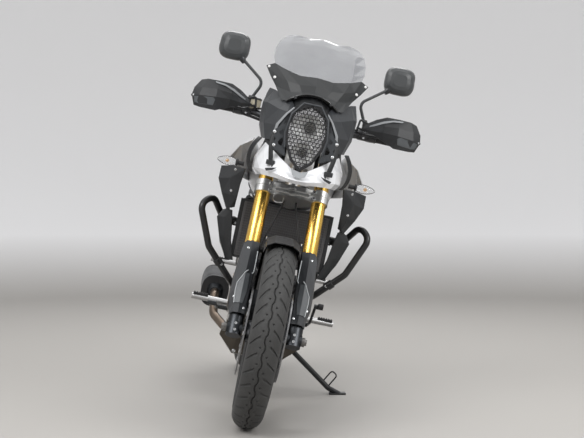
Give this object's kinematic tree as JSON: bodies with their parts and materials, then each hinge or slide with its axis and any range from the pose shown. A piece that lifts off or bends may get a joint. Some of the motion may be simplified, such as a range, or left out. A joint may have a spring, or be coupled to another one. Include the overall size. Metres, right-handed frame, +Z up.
{
  "type": "adventure motorcycle",
  "caption": "Road and trail motorcycle with a V-twin engine, beak, tall screen, crash bars and hand guards, leaning on its side stand.",
  "frame": {"origin": "on the ground, at the centre of the parked machine's overall box", "axes": "+Z up from the ground, -Y the way the machine faces, +X towards the rider's left, the side it leans to; the machine leans about 12 degrees onto its side stand"},
  "size_m": [0.9122, 2.2579, 1.4627],
  "materials": {
    "black_plastic": "matte",
    "soft_rubber": "matte",
    "steel": "satin",
    "black_steel": "gloss",
    "dark_alloy": "satin",
    "grey_plastic": "matte",
    "gold_tube": "satin",
    "white_paint": "gloss",
    "tyre_rubber": "matte",
    "tank_paint": "gloss",
    "clear_lens": "gloss",
    "seat_cover": "matte",
    "cast_silver": "satin",
    "red_lens": "gloss",
    "smoked_clear": "gloss",
    "black_gloss": "gloss"
  },
  "bodies": {
    "chassis": {"airbox": "black_plastic", "chain": "steel", "chain_guard": "black_plastic", "crash_bars": "black_steel", "engine_cases": "dark_alloy", "engine_cylinders": "dark_alloy", "exhaust_headers": "steel", "fairing_stay": "black_steel", "foot_controls": "dark_alloy", "footrests": "steel", "front_beak": "white_paint", "fuel_tank": "tank_paint", "headlight_cowl": "grey_plastic", "headlight_guard": "black_steel", "headlight_housing": "black_plastic", "headlight_lens": "clear_lens", "instrument_panel": "black_plastic", "lower_side_covers": "grey_plastic", "main_frame": "dark_alloy", "muffler": "dark_alloy", "radiator": "black_steel", "radiator_covers": "black_plastic", "rear_caliper": "dark_alloy", "rear_fender": "black_plastic", "rear_rack": "black_plastic", "rear_shock": "black_steel", "rear_spindles": "steel", "rear_subframe": "black_steel", "seat": "seat_cover", "side_covers": "black_plastic", "skid_plate": "cast_silver", "stand_bracket": "black_steel", "swingarm": "cast_silver", "tail_cowl": "black_plastic", "tail_light": "red_lens", "tank_shrouds": "white_paint", "turn_signals": "clear_lens", "windscreen": "smoked_clear", "windscreen_base": "black_gloss"},
    "steering": {"brake_hoses": "soft_rubber", "fork_guards": "grey_plastic", "fork_lower_legs": "dark_alloy", "fork_outer_tubes": "gold_tube", "front_axle": "steel", "front_calipers": "dark_alloy", "front_fender": "black_plastic", "grips": "soft_rubber", "hand_guards": "black_plastic", "handlebar": "dark_alloy", "levers": "dark_alloy", "mirrors": "black_plastic", "triple_clamps": "cast_silver"},
    "front_wheel": {"front_discs": "steel", "front_rim": "dark_alloy", "front_tyre": "tyre_rubber"},
    "rear_wheel": {"rear_disc_and_sprocket": "steel", "rear_rim": "dark_alloy", "rear_tyre": "tyre_rubber"},
    "side_stand_leg": {"side_stand": "black_steel"}
  },
  "joints": [
    {"name": "steering", "type": "hinge", "parent": "chassis", "child": "steering", "pos_m": [-0.04636, -0.50276, 0.83451], "axis": [0.1881, 0.4303, 0.8829], "range_deg": [-36, 36]},
    {"name": "front_wheel_spin", "type": "hinge", "parent": "steering", "child": "front_wheel", "pos_m": [-0.15535, -0.79997, 0.32298], "axis": [0.978, 0.0001, -0.2084], "continuous": true},
    {"name": "rear_wheel_spin", "type": "hinge", "parent": "chassis", "child": "rear_wheel", "pos_m": [-0.15702, 0.75504, 0.3156], "axis": [0.978, 0.0001, -0.2084], "continuous": true},
    {"name": "side_stand_swing", "type": "hinge", "parent": "chassis", "child": "side_stand_leg", "pos_m": [-0.03359, 0.00007, 0.17968], "axis": [0.6503, -0.1412, 0.7464], "range_deg": [0, 105]}
  ]
}
